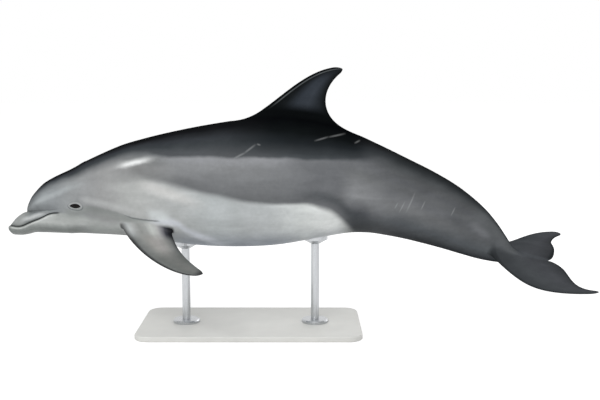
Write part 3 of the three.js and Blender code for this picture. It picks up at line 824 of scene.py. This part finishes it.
TAIL_STROKES = [
    # dark hem of the flank, light and dark along the tail stock, a patch on it, shade under the belly
    ([(1260, 262), (1380, 268), (1440, 260), (1516, 224), (1560, 184), (1640, 130)],
     44, (1260, 1460, 1550, 1640), 0.6, "#3f4346"),
    ([(1560, 250), (1649, 206), (1694, 196), (1740, 206), (1786, 212), (1855, 190), (1924, 140), (2040, 90)],
     70, (1600, 1670, 1780, 2010), 0.3, "#97999b"),
    ([(1980, 190), (2066, 110), (2150, 40), (2230, -20)], 110, (1960, 2050, 2090, 2200), 0.3, "#484b4e"),
    ([(2060, 130), (2162, 84), (2250, 30)], 34, (2100, 2145, 2175, 2225), 0.4, "#87898d"),
    ([(1340, 44), (1429, 66), (1516, 76), (1580, 70)], 60, (1360, 1430, 1510, 1560), 0.4, "#858b93"),
]

# Scars and rake marks on each side: their ends and their width.
SCARS_LEFT = [
    ((1048, 427), (1108, 456), 7), ((1092, 447), (1150, 490), 7), ((1150, 490), (1170, 484), 6),
    ((1400, 500), (1472, 518), 6), ((1458, 514), (1548, 528), 6), ((1580, 486), (1612, 498), 6),
    ((1262, 214), (1312, 128), 6), ((1258, 206), (1282, 190), 5), ((1811, 174), (1855, 273), 6),
    ((1780, 175), (1809, 235), 5), ((1760, 196), (1776, 228), 5), ((1879, 187), (1901, 231), 5),
    ((2019, 155), (2042, 199), 5)]
SCARS_RIGHT = [
    ((1180, 430), (1290, 462), 6), ((1176, 442), (1250, 470), 5), ((1850, 190), (1886, 262), 6),
    ((1826, 196), (1850, 240), 5), ((760, 240), (842, 212), 5), ((1500, 300), (1560, 352), 5)]


# Airbrushed paint on a cast resin skin, under a satin varnish: soft-edged markings with painted highlights
# and painted shade among them, a mottle that is almost even, a few pale scars, and a gentle gloss that shows
# the folds. The paint itself is matt, and all of the gloss is the varnish's.
def airbrushed_skin():
    material, node = finish("airbrushed_resin_skin")

    def both(*masks):
        """Product of masks."""
        return reduce(lambda a, b: node("Math", [a, b], operation="MULTIPLY"), masks)

    def most(masks):
        """The greatest of some masks."""
        return reduce(lambda a, b: node("Math", [a, b], operation="MAXIMUM"), masks)

    def coat(under, paint, *masks):
        """Paint laid over a tone through masks."""
        return node("Mix", [both(*masks), under, paint], data_type="RGBA")

    def drawn(line, lowest=LOWEST):
        """Height of a line of the markings at each place along the body, or a width, with lowest as 0."""
        points = [(x / LENGTH, (z - lowest) / HEIGHT) for x, z in line]
        return node("FloatCurve", {"Value": along}, curve=points)

    def over(line, width):
        """1 above a line and 0 below it, over a soft width in millimetres or from a node."""
        gap = node("Math", [high, line], operation="SUBTRACT")
        width = width / HEIGHT if isinstance(width, int) else width
        return node("MapRange", [node("Math", [gap, width], operation="DIVIDE"), -0.5, 0.5, 0, 1], **SOFT)

    def beside(level, line, width):
        """1 on a line, falling to 0 at a distance of width, in millimetres or from a node, on both sides."""
        gap = node("Math", [node("Math", [level, line], operation="SUBTRACT")], operation="ABSOLUTE")
        width = width / HEIGHT if isinstance(width, int) else width
        return node("MapRange", [gap, 0, width, 1, 0], **SOFT)

    def part_of(start, full, fade=None, end=None):
        """0 ahead of start and 1 behind full, and where fade is given, easing out again from it to end."""
        mask = node("MapRange", [along, start / LENGTH, full / LENGTH, 0, 1], **SOFT)
        if fade is None:
            return mask
        return both(mask, node("MapRange", [along, fade / LENGTH, end / LENGTH, 1, 0], **SOFT))

    def strokes(tone, rows):
        """Soft strokes laid over a tone, one after another."""
        for line, width, ends, strength, paint in rows:
            tone = coat(tone, paint, beside(high, drawn(line), width), part_of(*ends), strength)
        return tone

    def scratch(start, end, width):
        """Mask of a thin straight scar between two places of the side, tapering at its ends."""
        start, end = ((np.array([x, 0, z]) + OFFSET) / METRE for x, z in (start, end))
        way = end - start
        off = node("VectorMath", [flat, tuple(start)], operation="SUBTRACT")
        run = node("VectorMath", [off, tuple(way / (way @ way))], operation="DOT_PRODUCT").outputs["Value"]
        held = node("Clamp", [run, 0, 1])
        on_line = node("VectorMath", {"Vector": tuple(way), "Scale": held}, operation="SCALE")
        gap = node("VectorMath", [off, on_line], operation="DISTANCE").outputs["Value"]
        taper = node("Math", [node("Math", [held, math.pi], operation="MULTIPLY")], operation="SINE")
        return both(node("MapRange", [gap, 0, width / METRE, 1, 0], **SOFT), taper)

    place = node("TexCoord").outputs["Object"]
    at = node("SeparateXYZ", [place])
    drift = node("TexNoise", {"Vector": place, "Scale": 7, "Detail": 3, "Roughness": 0.55})
    fine = node("TexNoise", {"Vector": place, "Scale": 60, "Detail": 2, "Roughness": 0.5})
    wander = node("MapRange", [drift, 0.3, 0.7, -0.004, 0.004])
    wander = node("Math", [node("MapRange", [fine, 0.3, 0.7, -0.001, 0.001]), wander], operation="ADD")
    along = node("Math", [at.outputs["X"], METRE / LENGTH, BALANCE_X / LENGTH], operation="MULTIPLY_ADD")
    height = node("Math", [at.outputs["Z"], (-BELLY_HEIGHT - LOWEST) / HEIGHT], operation="ADD")
    high = node("Math", [height, wander], operation="ADD")
    back, belly = drawn(BACK_LINE), drawn(BELLY_LINE)
    above_belly = node("Math", [high, belly], operation="SUBTRACT")
    depth = node("Math", [back, belly], operation="SUBTRACT")
    share = node("Math", [above_belly, depth], operation="DIVIDE")
    cape_edge, flank_edge = drawn(CAPE_EDGE), drawn(FLANK_EDGE)

    # head: mid grey, painted shade at the melon's front, and a painted highlight from the corner of the beak
    # over the eye
    tone = node("ValToRGB", [along], ramp=[
        (0, "#919493"), (0.03, "#919493"), (0.043, "#767a7b"), (0.055, "#7c8082"), (0.07, "#8f9496"),
        (0.095, "#888c8e"), (0.12, "#8d9091"), (0.15, "#8f9192"), (0.18, "#8f9090"), (0.21, "#989999")])
    tone = strokes(tone, HEAD_HIGHLIGHT_STROKES)
    # painted shade: in the hollow of the melon's foot over the crease, and a dark line in the crease itself
    crease = drawn(BEAK_CREASE)
    above_crease = node("Math", [high, crease], operation="SUBTRACT")
    tone = coat(tone, "#74787a", over(crease, 6), part_of(90, 185, 210, 290),
                node("MapRange", [above_crease, 0.004, 0.044, 1, 0], **SOFT), 0.85)
    tone = coat(tone, "#55595b", beside(high, crease, 5), part_of(84, 96, 200, 290), 0.55)

    # flank: a grey band between the cape and the pale side, darkest along its lower edge
    rise = node("Math", [node("Math", [high, flank_edge], operation="SUBTRACT"),
                         node("Math", [cape_edge, flank_edge], operation="SUBTRACT")], operation="DIVIDE")
    flank = node("ValToRGB", [rise], ramp=[
        (0, "#656769"), (0.25, "#6d6f71"), (0.5, "#747678"), (0.75, "#7b7d7f"), (0.92, "#86888b"),
        (1, "#87898c")])
    flank = coat(flank, "#696b6e", part_of(1120, 1460))
    front_flank = node("ValToRGB", [rise], ramp=[
        (0, "#7f8181"), (0.5, "#7b7c7c"), (0.75, "#767878"), (1, "#7f8283")])
    flank = coat(front_flank, flank, part_of(640, 860))

    # pale side and belly, brightest behind the shoulder and towards the vent, with painted shade along the
    # underside
    pale = node("ValToRGB", [along], ramp=[
        (0.15, "#9b9d9d"), (0.2, "#a0a2a1"), (0.25, "#a8aaa9"), (0.31, "#aeb1b1"), (0.37, "#afb4b5"),
        (0.42, "#afb3b4"), (0.466, "#b8bcbd"), (0.516, "#d0d4d3"), (0.566, "#e7eae9")])
    under = node("MapRange", [share, 0.02, 0.2, 1, 0], **SOFT)
    pale = coat(pale, "#8f95a0", under, part_of(640, 860, 1200, 1500), 0.75)
    side = coat(pale, flank, over(flank_edge, drawn(FLANK_SOFT, 0)))
    tone = coat(tone, side, part_of(420, 640))

    # jaw and throat, with a band of painted shade along the chin
    chin = node("Math", [above_belly, 10], operation="MULTIPLY")
    jaw = node("ValToRGB", [chin], ramp=[
        (0, "#969998"), (0.08, "#909392"), (0.2, "#7c807e"), (0.33, "#808482"), (0.45, "#909492"),
        (0.6, "#aaadab"), (0.8, "#abaeac"), (1, "#a4a8a6")])
    throat = node("ValToRGB", [chin], ramp=[
        (0, "#969998"), (0.2, "#9a9d9c"), (0.5, "#a8acaa"), (0.8, "#b0b3b2"), (1, "#aeb2b0")])
    jaw = coat(jaw, throat, part_of(320, 480))
    lip_line = drawn(JAW_EDGE)
    below_jaw = node("Math", [1, over(lip_line, drawn(JAW_SOFT, 0))], operation="SUBTRACT")
    tone = coat(tone, jaw, below_jaw, part_of(-10, -5, 560, 760))

    # stripe from the eye to the flipper, sharpest along its upper edge, then the blaze and the painted
    # highlights round it
    below = node("Math", [drawn(EYE_STRIPE), high], operation="SUBTRACT")
    tone = coat(tone, "#858987", node("MapRange", [below, -0.006, 0.008, 0, 1], **SOFT),
                node("MapRange", [below, 0.012, 0.062, 1, 0], **SOFT), part_of(262, 340, 620, 700), 0.85)
    tone = strokes(tone, SIDE_STROKES)

    # cape: near black along the back, a little lighter half way down, soft on the head and the tail stock
    # the darkening towards the back line is partly the cape's own colour and partly painted shade
    climb = node("Math", [node("Math", [high, cape_edge], operation="SUBTRACT"),
                          node("Math", [back, cape_edge], operation="SUBTRACT")], operation="DIVIDE")
    cape = node("ValToRGB", [climb], ramp=[
        (0, "#4a4d50"), (0.15, "#4a4d50"), (0.4, "#3b3f42"), (0.6, "#33363a"), (0.72, "#27292c"),
        (0.86, "#17181a"), (1, "#0e0f10")])
    dark_back = node("ValToRGB", [climb], ramp=[
        (0, "#44484b"), (0.15, "#33373a"), (0.4, "#1d2124"), (0.65, "#101314"), (1, "#07080a")])
    cape = coat(cape, dark_back, part_of(940, 1260, 1560, 1720))
    tone = coat(tone, cape, over(cape_edge, drawn(CAPE_SOFT, 0)))

    # tail stock: dark above and below, with a lighter middle, and a dark band from the vent
    stock = node("ValToRGB", [share], ramp=[
        (0, "#1e2123"), (0.05, "#323538"), (0.12, "#4a4d50"), (0.2, "#595d61"), (0.3, "#66696c"),
        (0.4, "#6a6c6e"), (0.52, "#66686b"), (0.62, "#636567"), (0.7, "#5b5d60"), (0.78, "#57595b"),
        (0.85, "#4c4f51"), (0.93, "#313436"), (1, "#1b1d1e")])
    rear = node("ValToRGB", [share], ramp=[
        (0, "#2b2e31"), (0.08, "#43464a"), (0.2, "#55595c"), (0.45, "#65686b"), (0.7, "#65686a"),
        (0.85, "#5e6163"), (0.93, "#45484a"), (1, "#2b2e30")])
    stock = coat(stock, rear, part_of(2060, 2260))
    tone = coat(tone, stock, part_of(1590, 1800))
    vent = node("ValToRGB", [share], ramp=[
        (0, "#1c2021"), (0.06, "#2c3032"), (0.16, "#3c4043"), (0.25, "#484b50"), (0.33, "#6c6e71"),
        (0.42, "#898b8d"), (0.5, "#888a8c"), (0.66, "#6a6c6d")])
    low = node("MapRange", [share, 0.6, 0.78, 0.85, 0], **SOFT)
    tone = coat(tone, vent, part_of(1495, 1590, 1620, 1780), low)
    tone = strokes(tone, TAIL_STROKES)
    tone = coat(tone, "#4e5155", part_of(2270, 2390))

    # fins, over the fillets that carry them
    chord, span = (node("Attribute", attribute_name=name).outputs["Fac"] for name in ("chord", "span"))
    dorsal = node("ValToRGB", [chord], ramp=[
        (0, "#0c0d0e"), (0.1, "#111314"), (0.22, "#1b1e20"), (0.42, "#343940"), (0.62, "#383d44"),
        (0.78, "#2a2e33"), (0.92, "#1b1e20"), (1, "#0e0f10")])
    dorsal = coat(dorsal, "#131516", node("MapRange", [span, 0.55, 0.92, 0, 0.8], **SOFT))
    # a painted highlight: a thin pale line just inside the leading edge
    from_edge = both(chord, node("Math", [1.15, span], operation="SUBTRACT"), 0.29)
    dorsal = coat(dorsal, "#565a5c", beside(from_edge, 0.02, 7), node("MapRange", [span, 0.02, 0.25, 0, 0.9]))
    dorsal = coat(dorsal, "#0b0d0e", node("MapRange", [span, 0.02, 0.24, 1, 0], **SOFT))
    flipper = node("ValToRGB", [chord], ramp=[
        (0, "#272929"), (0.045, "#3c3e3e"), (0.1, "#626564"), (0.24, "#787a78"), (0.42, "#8f8e8b"),
        (0.58, "#949290"), (0.74, "#8a8a88"), (0.88, "#707271"), (0.95, "#555757"), (1, "#2c2d2e")])
    flipper = coat(flipper, "#606361", node("MapRange", [span, 0.26, 0.5, 0, 0.8], **SOFT),
                   node("MapRange", [chord, 0.06, 0.2, 0, 1]))
    flipper = coat(flipper, "#2c2d2f", node("MapRange", [span, 0.86, 0.98, 0, 0.9], **SOFT))
    # at the root: a painted highlight near the leading edge, and painted shadow behind the trailing edge
    flipper_root = node("ValToRGB", [chord], ramp=[
        (0, "#4a4c4c"), (0.05, "#7f8181"), (0.12, "#a4a8a8"), (0.22, "#959796"), (0.34, "#828482"),
        (0.46, "#8c8e8c"), (0.58, "#b0b3b0"), (0.7, "#a3a4a3"), (0.78, "#7d7d80"), (0.86, "#3c3d43"),
        (0.93, "#1b1c21"), (1, "#121317")])
    flipper = coat(flipper, flipper_root, node("MapRange", [span, 0.04, 0.19, 1, 0], **SOFT))
    fluke = node("ValToRGB", [chord], ramp=[
        (0, "#2b2e30"), (0.05, "#404346"), (0.3, "#484b4e"), (0.7, "#4a4c50"), (0.93, "#3f4144"),
        (1, "#25282a")])
    for mark, paint, start, full in (
            ("dorsal", dorsal, 0, 1), ("flipper", flipper, 0.35, 0.75), ("fluke", fluke, 0, 1)):
        skin_share = node("Attribute", attribute_name=mark).outputs["Fac"]
        tone = coat(tone, paint, node("MapRange", [skin_share, start, full, 0, 1]))

    # eyelids: a pale ring, painted shade in the fold, most under the eye, a dark wet rim whose dark carries
    # on into the socket as painted shade; and painted shade inside the slits
    lid, slit = (node("Attribute", attribute_name=name).outputs["Fac"] for name in ("lid", "slit"))
    ring = node("ValToRGB", [lid], ramp=[
        (0.42, "#000000"), (0.6, "#d0d0d0"), (0.7, "#ffffff"), (0.8, "#d0d0d0"), (0.9, "#000000")])
    tone = coat(tone, "#b3b6b5", ring, 0.42)
    lid_fold_shade = node("ValToRGB", [lid], ramp=[
        (0.06, "#000000"), (0.22, "#f0f0f0"), (0.34, "#f0f0f0"), (0.5, "#000000")])
    eye_level = (EYE[1] - LOWEST) / HEIGHT
    under_eye = node("MapRange", [height, eye_level - 0.006, eye_level + 0.006, 0.9, 0.2])
    tone = coat(tone, "#64686a", lid_fold_shade, under_eye)
    tone = coat(tone, "#141312", node("MapRange", [lid, 0.88, 0.96, 0, 1], **SOFT))
    tone = coat(tone, "#171615", node("MapRange", [slit, 0.86, 0.98, 0, 1], **SOFT))

    # mouth: painted shade on the upper lip, a painted highlight on the lower, and the dark line between them
    above_lip = node("Math", [height, lip_line], operation="SUBTRACT")
    tone = coat(tone, "#606463", node("MapRange", [above_lip, 0, 0.022, 1, 0], **SOFT),
                node("MapRange", [above_lip, -0.002, 0, 0, 1]), part_of(4, 40, 150, 240), 0.5)
    tone = coat(tone, "#c8cbc8", node("MapRange", [above_lip, -0.018, -0.009, 0, 1], **SOFT),
                node("MapRange", [above_lip, -0.007, -0.003, 1, 0], **SOFT), part_of(8, 30, 235, 262), 0.55)
    lips = beside(height, lip_line, drawn(LIP_WIDTH, 0))
    tone = coat(tone, "#363939", lips, part_of(-10, -5, 250, 272), 0.92)

    # mottle of the airbrush: patches 60 mm across, specks of 17 mm, and strokes of 200 mm; then the scars
    patch = node("TexNoise", {"Vector": place, "Scale": 16, "Detail": 4, "Roughness": 0.6})
    sweep = node("Mapping", {"Vector": place, "Rotation": (0, 0.12, 0), "Scale": (5, 8, 17)})
    sweeps = node("TexNoise", {
        "Vector": sweep, "Scale": 1, "Detail": 3, "Roughness": 0.55, "Distortion": 0.4})
    light = both(*[node("MapRange", [noise, 0.3, 0.7, 1 - depth, 1 + depth])
                   for noise, depth in ((patch, 0.05), (fine, 0.03), (sweeps, 0.12))])
    tone = node("VectorMath", {"Vector": tone, "Scale": light}, operation="SCALE")
    flat = node("VectorMath", [place, (1, 0, 1)], operation="MULTIPLY")
    left = node("MapRange", [at.outputs["Y"], -0.01, 0.01, 1, 0])
    right = node("Math", [1, left], operation="SUBTRACT")
    scars = most([both(half, most([scratch(*mark) for mark in marks]))
                  for half, marks in ((left, SCARS_LEFT), (right, SCARS_RIGHT))])
    tone = coat(tone, "#e2e5e6", scars, 0.14)

    # varnish: thin over the sides, none along the dark back, and a wet streak on the shoulder; a grain of
    # 2 mm in relief, drawn coarser than the real spray's so that it shows
    rough = node("MapRange", [patch, 0.3, 0.7, 0.3, 0.38])
    grain = node("TexNoise", {"Vector": place, "Scale": 420, "Detail": 2, "Roughness": 0.5})
    relief = node("Math", [grain, both(scars, -0.8)], operation="ADD")
    bump = node("Bump", {"Height": relief, "Strength": 0.25, "Distance": 0.0006})
    varnish = both(node("MapRange", [share, 0.7, 0.92, 0.16, 0], **SOFT), part_of(-20, -10, 1700, 2250))
    shoulder = both(beside(high, drawn(SHOULDER_HIGHLIGHT), 22), part_of(500, 590, 625, 720), 0.84)
    varnish = node("Math", [varnish, shoulder], operation="ADD")
    shader = node("BsdfPrincipled", {
        "Base Color": tone, "Roughness": rough, "Normal": bump, "Specular IOR Level": 0.0,
        "Coat Weight": varnish, "Coat Roughness": 0.25, "Coat Normal": bump})
    node("OutputMaterial", [shader])
    return material


# Cast clear resin over a painted eye: black pupil, dark brown iris with fibres of 1 mm, near-black surround.
def painted_eye(side):
    material, node = finish("painted_resin_eye")
    place = node("TexCoord").outputs["Object"]
    middle = (np.array([EYE[0], side * EYE_OUT, EYE[1]]) + OFFSET) / METRE
    off = node("VectorMath", [place, tuple(middle)], operation="SUBTRACT")
    wide = node("VectorMath", [off, (0.75, 0.3, 1)], operation="MULTIPLY")  # the iris is longer than high
    far = node("VectorMath", [wide], operation="LENGTH").outputs["Value"]
    away = node("MapRange", [far, 0, 0.02, 0, 1])
    paint = node("ValToRGB", [away], ramp=[
        (0, "#040404"), (0.22, "#050505"), (0.28, "#0f0b08"), (0.5, "#130d0a"), (0.62, "#080605"),
        (1, "#060505")])
    fibres = node("TexNoise", {"Vector": place, "Scale": 900, "Detail": 2})
    lit = node("MapRange", [fibres, 0.3, 0.7, 0.75, 1.25])
    paint = node("VectorMath", {"Vector": paint, "Scale": lit}, operation="SCALE")
    shader = node("BsdfPrincipled", {"Base Color": paint, "Roughness": 0.1, "Specular IOR Level": 0.12})
    node("OutputMaterial", [shader])
    return material


# Light grey satin powder coat: a faint orange peel, 2 mm across.
def powder_coat():
    material, node = finish("satin_powder_coat")
    place = node("TexCoord").outputs["Object"]
    peel = node("TexNoise", {"Vector": place, "Scale": 450, "Detail": 1})
    cloud = node("TexNoise", {"Vector": place, "Scale": 9, "Detail": 2})
    paint = node("ValToRGB", [cloud], ramp=[(0.3, "#d2d2ce"), (0.7, "#dadad6")])
    bump = node("Bump", {"Height": peel, "Strength": 0.15, "Distance": 0.0004})
    rough = node("MapRange", [cloud, 0.3, 0.7, 0.38, 0.46])
    shader = node("BsdfPrincipled", {"Base Color": paint, "Roughness": rough, "Normal": bump})
    node("OutputMaterial", [shader])
    return material


# Brushed stainless steel: fine marks run up the rods; the real 0.1 mm marks are drawn 1 mm wide to show.
def brushed_steel():
    material, node = finish("brushed_stainless_steel")
    place = node("TexCoord").outputs["Object"]
    stretched = node("Mapping", {"Vector": place, "Scale": (1000, 1000, 12)})
    marks = node("TexNoise", {"Vector": stretched, "Scale": 1, "Detail": 3})
    paint = node("ValToRGB", [marks], ramp=[(0.3, "#b2b5b8"), (0.7, "#c6c8ca")])
    rough = node("MapRange", [marks, 0.3, 0.7, 0.24, 0.38])
    bump = node("Bump", {"Height": marks, "Strength": 0.08, "Distance": 0.0002})
    shader = node("BsdfPrincipled", {
        "Base Color": paint, "Metallic": 1.0, "Roughness": rough, "Normal": bump})
    node("OutputMaterial", [shader])
    return material


skin.data.materials.append(airbrushed_skin())
for name, eye in eyes.items():
    eye.data.materials.append(painted_eye(-1 if name == "left" else 1))
plate, steel = powder_coat(), brushed_steel()
for name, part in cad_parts.items():
    if name.startswith("stand"):
        for slot in part.material_slots:
            slot.material = plate if "base" in name else steel

# ------------------------------------------------------------------ studio
AIM, DISTANCE, RISE = Vector((0.230, 0, 0.598)), 4.2, math.radians(8)
LENS, SENSOR = 54.85, 36
LIT = Vector((0.2, 0, 0.5))  # the point that the lamps face
AMBIENT = 0.62
GLOW = 0.51  # what the floor needs, over its lit white, to look as white as the backdrop
LAMPS = [  # place, size and power
    ("soft_box", (-0.9, -3.6, 3.3), 2.6, 98), ("fill_box", (2.2, 3.2, 2.6), 2.6, 30),
    ("strip_light", (-2.05, -1.4, 3.03), 0.3, 11)]

scene = bpy.context.scene
scene.view_settings.view_transform = "Standard"
camera_data = bpy.data.cameras.new("camera")
camera_data.lens = LENS
camera_data.sensor_width = SENSOR
camera = bpy.data.objects.new("camera", camera_data)
scene.collection.objects.link(camera)
camera.location = AIM + DISTANCE * Vector((0, -math.cos(RISE), math.sin(RISE)))
camera.rotation_euler = (AIM - camera.location).to_track_quat("-Z", "Y").to_euler()
scene.camera = camera


def seen_white(node):
    """1 for what the camera, a gloss or a glass shows, 0 for what lights the object."""
    path = node("LightPath")
    gloss = node("Math", [path.outputs["Is Camera Ray"], path.outputs["Is Glossy Ray"]], operation="MAXIMUM")
    return node("Math", [gloss, path.outputs["Is Transmission Ray"]], operation="MAXIMUM")


scene.world, node = finish("studio", bpy.data.worlds)
strength = node("MapRange", [seen_white(node), 0, 1, AMBIENT, 1])
node("OutputWorld", [node("Background", {"Color": "#ffffff", "Strength": strength})])

for name, place, size, power in LAMPS:
    lamp_data = bpy.data.lights.new(name, "AREA")
    lamp_data.energy = power
    lamp_data.size = size
    lamp = bpy.data.objects.new(name, lamp_data)
    lamp.location = place
    lamp.rotation_euler = (LIT - lamp.location).to_track_quat("-Z", "Y").to_euler()
    scene.collection.objects.link(lamp)

# a matt white paper floor, with a glow for the eye only, so that it is as white as the backdrop and keeps
# its shadow
floor_mesh = bmesh.new()
bmesh.ops.create_grid(floor_mesh, x_segments=8, y_segments=8, size=30)
floor = finished("floor", floor_mesh)
paper, node = finish("white_paper_floor")
glow = node("MapRange", [seen_white(node), 0, 1, 0, GLOW])
node("OutputMaterial", [node("AddShader", [
    node("BsdfDiffuse", {"Color": "#e7e7e7"}), node("Emission", {"Color": "#ffffff", "Strength": glow})])])
floor.data.materials.append(paper)
